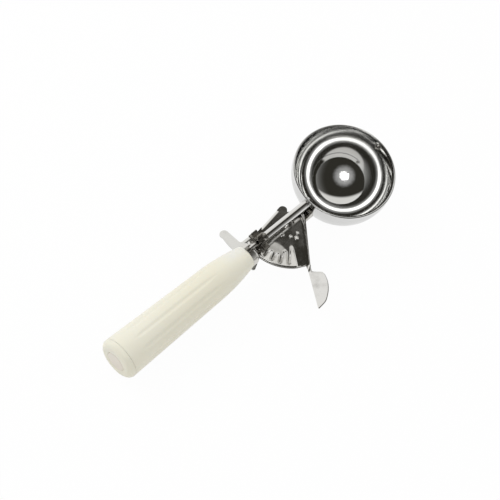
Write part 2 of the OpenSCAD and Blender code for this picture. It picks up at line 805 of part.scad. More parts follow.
module spring_bush() {
    bottom = channel_floor + seat_gap;
    color("#c9c9c9") on_rod(pivot_x) translate([0, 0, bottom]) difference() {
        cylinder(r = stud_d / 2 + press_gap + bush_wall, h = lever_under - seat_gap - bottom);
        translate([0, 0, -1]) cylinder(r = stud_d / 2 + press_gap, h = frame_h + 2);
    }
}

// The spring's centre line: a leg at the post, the coils, and a leg at the lever's lug.
spring_low = channel_floor + seat_gap + wire_d / 2;
spring_high = lever_under - 2 * seat_gap - wire_d / 2;
leg_r = 7;
coil_steps = 20;
leg_low_a = post_a + asin((post_r + wire_d / 2 + seat_gap) / norm(post_p));
lug_a = atan2(lug_p.y, lug_p.x) + 360;
leg_high_a = lug_a - asin((lug_r + wire_d / 2 + seat_gap) / norm(lug_p));
spring_sweep = 360 * spring_turns + leg_high_a - leg_low_a;
spring_line = concat(
    [[leg_r * cos(leg_low_a), leg_r * sin(leg_low_a), spring_low]],
    [for (i = [0 : coil_steps * spring_turns])
        let (t = i / (coil_steps * spring_turns), a = leg_low_a + t * spring_sweep)
        [coil_r * cos(a), coil_r * sin(a), spring_low + t * (spring_high - spring_low)]],
    [[leg_r * cos(leg_high_a), leg_r * sin(leg_high_a), spring_high]]);

// A round wire of radius r along a line of points that never stands upright.
module wire(line, r, sides = 10) {
    last = len(line) - 1;
    points = [for (i = [0 : last])
        let (ahead = line[min(i + 1, last)] - line[max(i - 1, 0)],
            side = cross(ahead, [0, 0, 1]) / norm(cross(ahead, [0, 0, 1])),
            up = cross(side, ahead) / norm(cross(side, ahead)))
        for (k = [0 : sides - 1])
            line[i] + r * cos(k * 360 / sides) * side + r * sin(k * 360 / sides) * up];
    walls = [for (i = [0 : last - 1]) for (k = [0 : sides - 1])
        let (k2 = (k + 1) % sides)
        [i * sides + k, i * sides + k2, (i + 1) * sides + k2, (i + 1) * sides + k]];
    ends = [[for (k = [sides - 1 : -1 : 0]) k], [for (k = [0 : sides - 1]) last * sides + k]];
    polyhedron(points, concat(walls, ends));
}

module return_spring() {
    color("silver") on_rod(pivot_x) wire(spring_line, wire_d / 2);
}

module spring_post() {
    color("silver") on_rod(pivot_x) translate([post_p.x, post_p.y, 0]) {
        translate([0, 0, channel_bottom]) cylinder(r = post_r, h = frame_h - 0.6);
    }
}

// ---------- finger rest ----------

rest_top = tang_top - tang_t - seat_gap;
rest_back_x = ferrule_x + 0.9;
rest_front_x = ramp_back_x - 0.6;
rest_side = tang_w / 2 + 0.9;
leaf_front_x = rest_back_x + 0.4;
rest_fold_y = 8.6;
rest_corner_y = 10.4;
rest_corner_r = 3.6;
rest_fillet_r = 1.6;
rest_fold_r = 1.2;
lobe_c = [ferrule_x - 4.3, -7.3];

// The base with its rounded corner, the leaf on its far side and the lug on its near side.
module rest_plan() {
    leaf_back = leaf_front_x - leaf_w - 1;
    tip_r = leaf_w / 2;
    lobe_r = 1.5;
    difference() {
        union() {
            polygon([[rest_back_x, -lobe_r], [rest_back_x, -5.6], [lobe_c.x - 0.5, lobe_c.y + 1.33],
                lobe_c, [lobe_c.x + 0.62, lobe_c.y - 1.28], [rest_back_x + 1.3, -5.7],
                [rest_back_x + 3, -rest_side], [rest_front_x, -rest_side],
                [rest_front_x, rest_corner_y - rest_corner_r], [rest_front_x - rest_corner_r, rest_corner_y],
                [rest_back_x - 0.6, rest_corner_y], [rest_back_x - 0.6, rest_fold_y - 3],
                [rest_back_x, rest_fold_y - 3]]);
            translate([rest_front_x - rest_corner_r, rest_corner_y - rest_corner_r])
                circle(r = rest_corner_r);
            translate(lobe_c) circle(r = lobe_r);
            translate([leaf_front_x - 1, rest_corner_y - 1]) square([rest_fillet_r + 1, rest_fillet_r + 1]);
            intersection() {
                translate([leaf_back, 6.7]) square([leaf_w + 1, leaf_reach - tip_r - 6.7]);
                translate([leaf_back + 40, rest_corner_y]) circle(r = 40, $fn = 360);
            }
            translate([leaf_front_x - tip_r, leaf_reach - tip_r]) circle(r = tip_r);
        }
        translate([leaf_front_x + rest_fillet_r, rest_corner_y + rest_fillet_r]) circle(r = rest_fillet_r);
    }
}

module finger_rest() {
    color("#c4c4c4") intersection() {
        translate([rest_front_x + 1, 0, rest_top]) rotate([90, 0, -90]) linear_extrude(40) {
            translate([-rest_fold_y, -rest_t]) square([40, rest_t]);
            translate([-rest_fold_y, -rest_t - rest_fold_r]) {
                intersection() {
                    difference() {
                        circle(r = rest_t + rest_fold_r);
                        circle(r = rest_fold_r);
                    }
                    polygon([[0, 0], [0, 9], 9 * [-sin(leaf_droop), cos(leaf_droop)]]);
                }
                rotate(leaf_droop) translate([-40, rest_fold_r]) square([40, rest_t]);
            }
        }
        difference() {
            translate([0, 0, rest_top - 20]) linear_extrude(30) rest_plan();
            for (x = finger_rivet_xs)
                translate([x, 0, rest_top - 3]) cylinder(r = finger_rivet_r + press_gap, h = 5);
        }
    }
}

module finger_rest_rivets() {
    color("silver") for (x = finger_rivet_xs) translate([x, 0, 0]) {
        translate([0, 0, rest_top - rest_t]) cylinder(r = finger_rivet_r, h = rest_t + tang_t + seat_gap);
        translate([0, 0, rest_top - rest_t]) mirror([0, 0, 1]) dome(2 * finger_rivet_r + 1.4, 0.8);
    }
}

handle_body();
handle_end_cap();
butt_plug();
ferrule();
rod_bearing();
frame_channel();
tube_saddle();
saddle_rivets();
bowl();
rod_bush();
shank_tube();
scraper_rod();
pinion();
pinion_pin();
pinion_collar();
scraper_blade();
blade_hub();
far_pivot_pin();
far_pivot_washer();
thumb_lever();
lever_stud();
stud_washer();
spring_bush();
return_spring();
spring_post();
finger_rest();
finger_rest_rivets();
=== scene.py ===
"""Lever ice cream scoop: the finished look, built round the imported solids.

Lengths are in millimetres in the part's own frame, and become metres when a piece is finished. Angles
are in degrees.
"""
import math

import bmesh
import bpy
from mathutils import Matrix, Vector


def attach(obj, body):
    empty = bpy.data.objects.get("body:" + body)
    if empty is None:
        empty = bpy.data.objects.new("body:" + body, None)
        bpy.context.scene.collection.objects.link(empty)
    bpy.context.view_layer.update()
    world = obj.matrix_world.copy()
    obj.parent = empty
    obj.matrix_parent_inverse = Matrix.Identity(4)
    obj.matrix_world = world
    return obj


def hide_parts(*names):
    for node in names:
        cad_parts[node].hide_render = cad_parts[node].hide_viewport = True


MM = 0.001
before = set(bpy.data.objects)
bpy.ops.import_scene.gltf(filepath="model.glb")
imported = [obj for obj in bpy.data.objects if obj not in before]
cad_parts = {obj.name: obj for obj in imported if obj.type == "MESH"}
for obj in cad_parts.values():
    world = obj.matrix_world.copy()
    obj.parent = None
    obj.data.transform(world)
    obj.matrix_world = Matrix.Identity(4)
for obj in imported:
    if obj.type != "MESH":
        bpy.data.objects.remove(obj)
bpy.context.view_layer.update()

# Middle of the bowl's mouth ball, and the middle of the lever's flat face on its stud.
BOWL = Vector((198.0, 1.0, 6.0))
PIVOT = Vector((150.0, 1.0, -2.0))
# The studio camera's directions: to its right, up, and back from the scoop towards the lens.
VIEW_RIGHT = Vector((0.7161, -0.6772, 0.1691))
VIEW_UP = Vector((0.5758, 0.7101, 0.4053))
VIEW_BACK = Vector((-0.3945, -0.1929, 0.8984))
BOWL_R = 32.5
BOWL_WALL = 1.0
RIM_RISE = 4.2
BEAD_R, BEAD_BAND = 0.62, 1.35      # the bead's radius, and the height of its own finish


# ---------------------------------------------------------------- materials

def colour(hex_code):
    """An sRGB hex colour as the linear colour that a shader takes."""
    channels = [int(hex_code[i:i + 2], 16) / 255 for i in (1, 3, 5)]
    return [c / 12.92 if c <= 0.04045 else ((c + 0.055) / 1.055) ** 2.4 for c in channels] + [1.0]


def add_node(tree, kind, settings=None, inputs=None):
    """Adds one node; an input is a plain value or another node's output socket."""
    node = tree.nodes.new(kind)
    for key, value in (settings or {}).items():
        setattr(node, key, value)
    for key, value in (inputs or {}).items():
        if isinstance(value, bpy.types.NodeSocket):
            tree.links.new(value, node.inputs[key])
        else:
            node.inputs[key].default_value = value
    return node


def new_material(name):
    material = bpy.data.materials.new(name)
    material.use_nodes = True
    tree = material.node_tree
    shader = next(n for n in tree.nodes if n.type == "BSDF_PRINCIPLED")
    place = add_node(tree, "ShaderNodeTexCoord").outputs["Object"]
    return material, tree, shader, place


def per_mm(wavelength):
    """Texture scale whose features are about this many millimetres apart."""
    return 1 / (wavelength * MM)


def noise(tree, place, wavelength, detail=3.0, roughness=0.5, stretch=(1, 1, 1)):
    """A noise texture, drawn out along the axes whose stretch is below one."""
    spread = add_node(tree, "ShaderNodeMapping", {}, {"Vector": place, "Scale": stretch})
    return add_node(tree, "ShaderNodeTexNoise", {}, {
        "Vector": spread.outputs["Vector"], "Scale": per_mm(wavelength),
        "Detail": detail, "Roughness": roughness}).outputs["Fac"]


def ramp(tree, value, low, high, to_low, to_high):
    return add_node(tree, "ShaderNodeMapRange", {"interpolation_type": "SMOOTHSTEP"}, {
        "Value": value, "From Min": low, "From Max": high,
        "To Min": to_low, "To Max": to_high}).outputs["Result"]


def mixed(tree, factor, first, second):
    node = add_node(tree, "ShaderNodeMix", {"data_type": "RGBA"}, {"Factor": factor})
    for socket, value in ((node.inputs[6], first), (node.inputs[7], second)):
        if isinstance(value, bpy.types.NodeSocket):
            tree.links.new(value, socket)
        else:
            socket.default_value = value
    return node.outputs[2]


def bumped(tree, shader, height, depth, under=None):
    """Raises the surface by a pattern that is depth millimetres deep."""
    inputs = {"Height": height, "Distance": depth * MM, "Strength": 1.0}
    if under is not None:
        inputs["Normal"] = under
    bump = add_node(tree, "ShaderNodeBump", {}, inputs).outputs["Normal"]
    tree.links.new(bump, shader.inputs["Normal"])
    return bump


def moulded_ivory(name, pale, deep):
    """Injection-moulded ivory thermoplastic: a satin gloss skin, a little cloudier and warmer where
    hands have rubbed it, painted paler on the neck's upper side as a sheen, with the faint unevenness that
    moulded plastic keeps."""
    material, tree, shader, place = new_material(name)
    cloud = noise(tree, place, 45.0, 1.0)
    where = add_node(tree, "ShaderNodeSeparateXYZ", {}, {"Vector": place})
    # painted sheen: along the neck the upper (+Y) side is mixed towards a paler colour, standing in for the
    # bright reflection there
    neck = add_node(tree, "ShaderNodeMath", {"operation": "MULTIPLY"}, {
        0: ramp(tree, where.outputs["X"], 0.090, 0.103, 0.0, 1.0),
        1: ramp(tree, where.outputs["Y"], -0.002, 0.004, 0.0, 0.75)})
    skin = mixed(tree, ramp(tree, cloud, 0.35, 0.7, 0, 1), colour(pale), colour(deep))
    tree.links.new(mixed(tree, neck.outputs[0], skin, colour("#e6e5de")), shader.inputs["Base Color"])
    handled = noise(tree, place, 14.0, 2.0)
    tree.links.new(ramp(tree, handled, 0.3, 0.7, 0.3, 0.36), shader.inputs["Roughness"])
    shader.inputs["IOR"].default_value = 1.5
    shader.inputs["Subsurface Weight"].default_value = 0.06
    shader.inputs["Subsurface Radius"].default_value = (0.004, 0.003, 0.002)
    shader.inputs["Subsurface Scale"].default_value = 1.0
    ripple = bumped(tree, shader, noise(tree, place, 30.0, 0.0), 0.03)
    bumped(tree, shader, noise(tree, place, 0.6, 1.0), 0.0006, ripple)
    return material


def polished_stainless(name, tone, gloss, ring_axis=None):
    """Stainless steel buffed to a mirror: nearly sharp reflections, a few hairline swirls and a very
    slight waviness of the pressed sheet that bends what it reflects."""
    material, tree, shader, place = new_material(name)
    shader.inputs["Metallic"].default_value = 1.0
    smear = noise(tree, place, 14.0, 3.0)
    tree.links.new(mixed(tree, smear, colour(tone), colour("#d9d9d8")), shader.inputs["Base Color"])
    long_wave, rise = (16.0, 0.03) if ring_axis is None else (40.0, 0.5)
    wavy = bumped(tree, shader, noise(tree, place, long_wave, 0.0), rise)
    if ring_axis is None:
        tree.links.new(ramp(tree, noise(tree, place, 4.0, 4.0, 0.6), 0.35, 0.75, gloss, gloss + 0.05),
                       shader.inputs["Roughness"])
        bumped(tree, shader, noise(tree, place, 0.35, 2.0), 0.0006, wavy)
    else:
        # the fine rings that spinning and buffing leave round the bowl
        centred = add_node(tree, "ShaderNodeMapping", {}, {
            "Vector": place, "Location": [-c * MM for c in ring_axis]})
        rings = add_node(tree, "ShaderNodeTexWave", {"wave_type": "RINGS", "rings_direction": "Z"}, {
            "Vector": centred.outputs["Vector"], "Scale": per_mm(20.0), "Distortion": 0.6,
            "Detail": 2.0, "Detail Scale": 1.0})
        spun_rings = bumped(tree, shader, rings.outputs["Fac"], 0.002, wavy)
        # near its mouth the wall was planished, and is unevener than the bowl's bottom
        height = add_node(tree, "ShaderNodeSeparateXYZ", {}, {"Vector": place}).outputs["Z"]
        mouth = ring_axis[2]
        near_mouth = ramp(tree, height, (mouth - 13.0) * MM, (mouth - 2.0) * MM, 0.0, 1.0)
        uneven = add_node(tree, "ShaderNodeMath", {"operation": "MULTIPLY"}, {
            0: noise(tree, place, 22.0, 0.0, 0.4, (1, 1, 2.0)), 1: near_mouth})
        bumped(tree, shader, uneven.outputs[0], 0.2, spun_rings)
        # the buffing wheel runs off at the mouth, so the last of the wall is a little hazier
        haze = ramp(tree, height, (mouth - 22.0) * MM, (mouth - 8.0) * MM, gloss + 0.02, gloss + 0.12)
        tree.links.new(haze, shader.inputs["Roughness"])
    return material


def stamped_stainless(name, tone, gloss, wear="#8f8c86"):
    """Stainless sheet that was stamped and then tumbled: bright, but with short fine scratches in all
    directions, tiny pits, and edges that catch the light."""
    material, tree, shader, place = new_material(name)
    shader.inputs["Metallic"].default_value = 1.0
    patches = noise(tree, place, 10.0, 4.0)
    tree.links.new(mixed(tree, ramp(tree, patches, 0.45, 0.8, 0, 0.5), colour(tone), colour(wear)),
                   shader.inputs["Base Color"])
    tree.links.new(ramp(tree, patches, 0.3, 0.7, gloss, gloss + 0.09), shader.inputs["Roughness"])
    wavy = bumped(tree, shader, noise(tree, place, 8.0, 2.0), 0.02)
    along = noise(tree, place, 0.6, 3.0, 0.6, (0.12, 1, 1))
    across = noise(tree, place, 0.6, 3.0, 0.6, (1, 0.12, 1))
    scratched = bumped(tree, shader, along, 0.0022, wavy)
    bumped(tree, shader, across, 0.0014, scratched)
    return material


def drawn_stainless(name, tone, gloss):
    """Drawn and polished tube or rod: long faint draw lines run along it, so highlights stay straight."""
    material, tree, shader, place = new_material(name)
    shader.inputs["Metallic"].default_value = 1.0
    shader.inputs["Base Color"].default_value = colour(tone)
    lines = noise(tree, place, 0.5, 2.0, 0.5, (0.02, 1, 1))
    tree.links.new(ramp(tree, lines, 0.3, 0.7, gloss, gloss + 0.06), shader.inputs["Roughness"])
    bumped(tree, shader, lines, 0.0018)
    return material


def machined_steel(name, tone, gloss):
    """Milled gear steel: darker than the sheet, with turned marks across its faces and a trace of
    dried grease in its pores."""
    material, tree, shader, place = new_material(name)
    shader.inputs["Metallic"].default_value = 1.0
    grime = noise(tree, place, 2.2, 5.0, 0.6)
    tree.links.new(mixed(tree, ramp(tree, grime, 0.5, 0.75, 0, 0.7), colour(tone), colour("#4a463e")),
                   shader.inputs["Base Color"])
    tree.links.new(ramp(tree, grime, 0.4, 0.7, gloss, gloss + 0.2), shader.inputs["Roughness"])
    marks = noise(tree, place, 0.4, 2.0, 0.5, (1, 0.2, 1))
    bumped(tree, shader, marks, 0.004)
    return material


def turned_brass(name):
    """Turned bearing brass: warm, with fine turning rings."""
    material, tree, shader, place = new_material(name)
    shader.inputs["Metallic"].default_value = 1.0
    tarnish = noise(tree, place, 1.8, 4.0)
    tree.links.new(mixed(tree, tarnish, colour("#c9a768"), colour("#a98a55")), shader.inputs["Base Color"])
    shader.inputs["Roughness"].default_value = 0.28
    bumped(tree, shader, noise(tree, place, 0.3, 2.0, 0.5, (1, 1, 0.1)), 0.003)
    return material


IVORY = moulded_ivory("moulded ivory plastic", "#e9e6d6", "#e7e3d0")
PLUG_IVORY = moulded_ivory("moulded warm ivory plastic", "#e6dfd2", "#e3dacd")
BOWL_STEEL = polished_stainless("mirror-buffed spun stainless steel", "#dfdfde", 0.02, BOWL)
BEAD_STEEL = polished_stainless("buffed rolled stainless bead", "#e0e0de", 0.09)
CAP_STEEL = polished_stainless("satin-buffed drawn stainless steel", "#d8d4cb", 0.24)
BLADE_STEEL = polished_stainless("buffed spring stainless strip", "#d9d8d4", 0.05)
LEVER_STEEL = stamped_stainless("stamped and buffed stainless sheet", "#e0dfdc", 0.04)
# the cut edges are rougher, as sheared edges are, and their dark tone is painted shade on the edge walls
SHADED_EDGE_STEEL = stamped_stainless("sheared stainless edge with painted shade", "#6f6c66", 0.34, "#5b5852")
FRAME_STEEL = stamped_stainless("pressed and tumbled stainless sheet", "#bdb9b0", 0.14, "#8a867d")
LEAF_STEEL = stamped_stainless("pressed and buffed stainless sheet", "#e4e4e2", 0.1, "#d2d1ce")
TUBE_STEEL = drawn_stainless("drawn polished stainless tube", "#dedddb", 0.05)
ROD_STEEL = drawn_stainless("ground stainless rod", "#d2d0cc", 0.1)
GEAR_STEEL = machined_steel("milled gear steel", "#8d8a84", 0.22)
RIVET_STEEL = stamped_stainless("headed stainless rivet", "#d4d2ce", 0.12)
WIRE_STEEL = drawn_stainless("hard-drawn spring wire", "#b9b7b2", 0.2)
BRASS = turned_brass("turned bearing brass")


# ---------------------------------------------------------------- mesh helpers

def finish_piece(name, mesh_in_mm, material, body, stands_for=(), sharp=35, bevel=None):
    """Makes an object of a bmesh in millimetres, in its place, and hangs it on its body."""
    bmesh.ops.scale(mesh_in_mm, vec=(MM, MM, MM), verts=mesh_in_mm.verts)
    mesh = bpy.data.meshes.new(name)
    mesh_in_mm.to_mesh(mesh)
    mesh_in_mm.free()
    mesh.materials.append(material)
    mesh.polygons.foreach_set("use_smooth", [True] * len(mesh.polygons))
    mesh.set_sharp_from_angle(angle=math.radians(sharp))
    piece = bpy.data.objects.new(name, mesh)
    bpy.context.scene.collection.objects.link(piece)
    if bevel:
        rounding = piece.modifiers.new("broken edges", "BEVEL")
        rounding.width = bevel * MM
        rounding.segments = 3
        rounding.limit_method = "ANGLE"
        rounding.angle_limit = math.radians(sharp)
        rounding.harden_normals = True
        rounding.use_clamp_overlap = True
    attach(piece, body)
    if stands_for:
        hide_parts(*stands_for)
    return piece


def outward(bm, merge=0.001):
    bmesh.ops.remove_doubles(bm, verts=bm.verts, dist=merge)
    bmesh.ops.recalc_face_normals(bm, faces=bm.faces)


def arc(centre, radius, start, end, steps):
    """Points of an arc in a profile's plane; angles in degrees."""
    return [(centre[0] + radius * math.cos(math.radians(start + (end - start) * i / steps)),
             centre[1] + radius * math.sin(math.radians(start + (end - start) * i / steps)))
            for i in range(steps + 1)]


def spun(profile, origin, axis, steps=96, closed=False):
    """Spins a profile of (distance from the axis, place along the axis) about an axis through origin."""
    bm = bmesh.new()
    axis = Vector(axis)
    side = Vector((0, 1, 0)) if abs(axis.x) > 0.5 else Vector((1, 0, 0))
    verts = [bm.verts.new(origin + side * r + axis * a) for r, a in profile]
    pairs = list(zip(verts, verts[1:])) + ([(verts[-1], verts[0])] if closed else [])
    edges = [bm.edges.new(pair) for pair in pairs]
    bmesh.ops.spin(bm, geom=verts + edges, cent=origin, axis=axis, angle=math.tau,
                   steps=steps, use_merge=True, dvec=(0, 0, 0))
    outward(bm, 0.0005)
    return bm


def add_grid(bm, columns, rows, place):
    """Adds a grid whose vertex in column i and row j is moved to place(i, j)."""
    made = bmesh.ops.create_grid(bm, x_segments=columns - 1, y_segments=rows - 1, size=1.0)["verts"]
    for vert in made:
        i = round((vert.co.x + 1) / 2 * (columns - 1))
        j = round((vert.co.y + 1) / 2 * (rows - 1))
        vert.co = place(i, j)


def solid_copy(node, tidy_angle=0.6):
    """A CAD node's mesh in millimetres, merged, with its flat faces joined up again."""
    bm = bmesh.new()
    bm.from_mesh(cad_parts[node].data)
    bmesh.ops.scale(bm, vec=(1 / MM,) * 3, verts=bm.verts)
    bmesh.ops.remove_doubles(bm, verts=bm.verts, dist=0.0005)
    bmesh.ops.dissolve_limit(bm, angle_limit=math.radians(tidy_angle), verts=bm.verts, edges=bm.edges)
    return bm


def smooth(value, low, high):
    t = min(max((value - low) / (high - low), 0.0), 1.0)
    return t * t * (3 - 2 * t)


def unit(angle):
    return Vector((math.cos(math.radians(angle)), math.sin(math.radians(angle)), 0.0))


# ---------------------------------------------------------------- handle

HANDLE_LEN = 111.0
BUTT_R, SHOULDER_R, NECK_R = 14.0, 11.8, 7.7
BUTT_ROUND = 4.0
SEAM_X = 4.6
SHOULDER_X = 80.0
TAPER = (BUTT_R - SHOULDER_R) / (SHOULDER_X - BUTT_ROUND)
GROOVES = 10
GROOVE_HALF, GROOVE_DEPTH = 2.0, 0.44
GROOVE_TURN = 2.6                  # how far the first groove stands from the top
PLUG_R, PLUG_GAP, PLUG_DEPTH = 6.8, 0.08, 2.0


def grip_radius(x):
    """Radius of the grip without its grooves: a straight taper, then an arc down to the neck."""
    if x <= SHOULDER_X:
        return BUTT_R - (x - BUTT_ROUND) * TAPER
    tilt = math.atan(TAPER)
    run, fall = HANDLE_LEN - SHOULDER_X, SHOULDER_R - NECK_R
    radius = math.hypot(run, fall) / 2 / math.sin(math.atan(fall / run) - tilt)
    cx, cr = SHOULDER_X - radius * math.sin(tilt), SHOULDER_R - radius * math.cos(tilt)
    return cr + math.sqrt(radius ** 2 - (x - cx) ** 2)


def groove_dip(x, around):
    """Depth of the soft grooves; each fades to a point at both ends."""
    pitch = 360 / GROOVES
    off = ((around + GROOVE_TURN + pitch / 2) % pitch) - pitch / 2
    across = math.radians(off) * grip_radius(x)
    fade = smooth(x, 11.5, 22.0) * (1 - smooth(x, 70.0, 90.0))
    if fade <= 0:
        return 0.0
    half = GROOVE_HALF * (0.35 + 0.65 * fade)
    return GROOVE_DEPTH * fade * (1 - smooth(abs(across), 0.0, half))


def grip():
    start, steps = SEAM_X + 0.3, 150
    stations = [SEAM_X + 0.02] + [start + i * (HANDLE_LEN - start) / steps for i in range(steps + 1)]
    around = 320

    def place(i, j):
        x = stations[i]
        angle = 360 * j / around
        r = grip_radius(x) - groove_dip(x, angle - 90)
        if i == 0:                 # the broken edge at the seam
            r -= 0.06
        a = math.radians(angle)
        return (x, r * math.cos(a), r * math.sin(a))

    bm = bmesh.new()
    add_grid(bm, len(stations), around + 1, place)
    outward(bm, 0.0005)
    ends = [e for e in bm.edges if e.is_boundary]
    bmesh.ops.holes_fill(bm, edges=ends, sides=0)
    bmesh.ops.recalc_face_normals(bm, faces=bm.faces)
    finish_piece("ivory_grip", bm, IVORY, "scoop", ["handle_body"], sharp=30)


def end_cap():
    """The rounded butt with the round hole for its plug, and the plug."""
    hole_r, hole_depth, hole_round = PLUG_R + PLUG_GAP, PLUG_DEPTH + 0.05, 0.5
    profile = [(0.0, hole_depth), (hole_r, hole_depth)]
    profile += arc((hole_r + hole_round, hole_round), hole_round, 180, 270, 5)
    profile += arc((BUTT_R - BUTT_ROUND, BUTT_ROUND), BUTT_ROUND, -90, 0, 20) + [(BUTT_R, 4.25)]
    profile += [(BUTT_R - 0.06, 4.46), (0.0, 4.52)]
    bm = spun(profile, Vector((0, 0, 0)), (1, 0, 0), 160)
    finish_piece("ivory_butt_cap", bm, IVORY, "scoop", ["handle_end_cap"], sharp=40)
    plug = [(0.0, 0.0), (4.2, 0.0)] + arc((PLUG_R - 0.3, 0.3), 0.3, -90, 0, 5)
    plug += [(PLUG_R, PLUG_DEPTH), (0.0, PLUG_DEPTH)]
    bm = spun(plug, Vector((0, 0, 0)), (1, 0, 0), 120)
    finish_piece("butt_plug_disc", bm, PLUG_IVORY, "scoop", ["butt_plug"], sharp=40)


# ---------------------------------------------------------------- bowl and shank

def bowl():
    """The half ball with its short collar and the rolled bead round its mouth."""
    outer = BOWL_R + BOWL_WALL
    profile = arc((0, 0), outer, -90, 0, 72)
    profile += [(outer, 1.0), (outer, 2.2)]
    profile += arc((outer - BEAD_R + 0.08, RIM_RISE - BEAD_R), BEAD_R, -20, 200, 16)
    profile += [(BOWL_R, 2.2), (BOWL_R, 1.0)]
    profile += arc((0, 0), BOWL_R, 0, -90, 72)
    profile[0] = (0.0, -outer)
    profile[-1] = (0.0, -BOWL_R)
    bm = spun(profile, BOWL, (0, 0, 1), 200)
    for face in bm.faces:
        if face.calc_center_median().z > BOWL.z + RIM_RISE - BEAD_BAND:
            face.material_index = 1
    piece = finish_piece("mirror_bowl", bm, BOWL_STEEL, "scoop", ["bowl"], sharp=60)
    piece.data.materials.append(BEAD_STEEL)


def shank():
    """The tube round the rod, from the pinion's collar to the bowl, with its ends broken."""
    back, front = 128.1, BOWL.x - BOWL_R - BOWL_WALL - 0.05
    r, wall = 2.7, 0.9
    profile = [(r - wall, back + 0.1), (r - wall, front)] + [(r - 0.15, front), (r, front - 0.15)]
    profile += [(r, back + 0.25), (r - 0.25, back)]
    origin = Vector((back, BOWL.y, BOWL.z))
    bm = spun([(d, a - back) for d, a in profile], origin, (1, 0, 0), 96, closed=True)
    finish_piece("shank_tube_polished", bm, TUBE_STEEL, "scoop", ["shank_tube"], sharp=30)


# ---------------------------------------------------------------- thumb lever

# Where the turned-up edge faces, seen from the pivot, and where its bend starts.
FOLD_A, FOLD_IN = -37.4, 8.48
# The same for the turned-down edge.
EDGE_A, EDGE_IN = 98.6, 8.75
FOLD_TURN, FOLD_R, EDGE_R = 50.0, 0.8, 1.6
# Beside the fan the turned-up edge is one wide curve, up to this turn in radians.
SWEEP_R, SWEEP_TURN = 3.4, 0.8
FAN_R, RIM_R, HUB_R = 31.5, 33.0, 11.5
STUD_HOLE_R = 2.55
SHEET = 1.2
# Directions of the middles of the pressed teeth and of the spaces between them.
TEETH = (220.9, 210.1, 199.3, 188.5, 177.7)
SPACES = (226.3, 215.5, 204.7, 193.9, 183.1, 172.3)
SPACE_C, SPACE_R = 29.65, 1.35
# The low pips behind the teeth: direction, distance from the pivot, radius.
PIPS = ((205.2, 10.3, 1.45), (235.6, 10.5, 1.1), (266.0, 9.7, 1.15), (252.4, 12.3, 1.45))
# Middle of the round ear at the plate's far front corner.
EAR = 7.35 * unit(EDGE_A) + 4.05 * unit(EDGE_A - 90)
EAR_R = 3.0


def cosd(angle):
    return math.cos(math.radians(angle))


def sind(angle):
    return math.sin(math.radians(angle))


def in_teeth(r, a):
    """How far a point of the fan lies inside the outline of the pressed teeth and their rim."""
    if r >= SPACE_C:
        gap = min(math.sqrt(max(r * r + SPACE_C ** 2 - 2 * r * SPACE_C * cosd(a - s), 0)) for s in SPACES)
        teeth = min(gap - SPACE_R, r * sind(236.5 - a), r * sind(a - 173.4))
        return max(teeth, min(r - 32.0, r * sind(a - 236.0)))
    inside = -9.0
    for middle in TEETH:
        tip = 21.8 if middle > 220 else 24.6
        along, aside = r * cosd(a - middle), abs(r * sind(a - middle))
        if along < tip:
            inside = max(inside, 0.6 - math.hypot(tip - along, aside))
        else:
            inside = max(inside, 0.6 + 0.8 * (along - tip) / (SPACE_C - tip) - aside)
    rib_in = 18.8
    share = (r - rib_in) / (SPACE_C - rib_in)
    aside = abs(r * sind(a - (233.5 - 0.9 * max(share, 0))))
    if share < 0:
        return max(inside, 0.72 - math.hypot(rib_in - r, aside))
    return max(inside, 0.72 + 1.31 * share - aside)


def rim_at(a):
    """Outer radius of the sheet: the raised rim runs out into the flat fan's corner."""
    return RIM_R - 1.05 * smooth(a, 232.0, 250.0)


def fan_height(r, a):
    """Height of the sheet's face above the flat hub: teeth that rise towards the rim, and low pips."""
    near_fold = FOLD_IN - r * cosd(a - FOLD_A)
    near_edge = EDGE_IN - r * cosd(a - EDGE_A)
    # the sheet slopes up towards the teeth and levels out before them
    start = 16.9 + 4.0 * ((a - 203.0) / 24.0) ** 2
    levels_out = min(max(r - 23.5, 0.0), 2.0)
    lift = 0.044 * (max(min(r, 25.5) - start, 0.0) - levels_out ** 2 / 4)
    lift *= smooth(near_fold, 2.0, 7.0) * smooth(near_edge, 0.0, 4.0)
    lift *= 1 - smooth(a, 212.0, 234.0)
    height = lift
    if r > 17.4:
        rise = smooth(in_teeth(r, a), -1.15, 0.6) if a < 236.3 else smooth(in_teeth(r, a), -0.7, 0.5)
        crest = min(1.2 + 1.2 * (r - 24.0) / 8.0, 2.4) * (1 - 0.5 * smooth(a, 236.5, 247.0))
        height += rise * (crest - lift)
        rim = rim_at(a)
        height -= 0.3 * smooth(r, rim - 1.05, rim - 0.75)
        over = min(max((r - rim + 0.22) / 0.22, 0.0), 1.0)
        height -= 0.2 * (1 - math.sqrt(1 - over * over))
    for at, out, wide in PIPS:
        off = r * unit(a) - out * unit(at)
        away = off.length / wide
        if away < 1:
            height += (0.3 - 0.11 * (off.x + off.y)) * (1 - smooth(away, 0.7, 1.0))
    return height


def edge_angle(r):
    """Direction in which the fan meets the turned-down edge."""
    return EDGE_A + math.degrees(math.acos(EDGE_IN / r))


def fold_angle(r):
    """Direction in which the fan meets the turned-up edge."""
    return 360 + FOLD_A - math.degrees(math.acos(FOLD_IN / r))


FAN_COLUMNS = 197
MID_R = 17.5                       # where the fan's grid meets the hub's
EVEN_FROM, EVEN_TO = 10, 172       # the columns that stand evenly, over the teeth
EVEN_A, EVEN_STEP = 175.0, 0.4     # the first one's direction, and their spacing


def even_angle(i):
    return EVEN_A + (i - EVEN_FROM) * EVEN_STEP


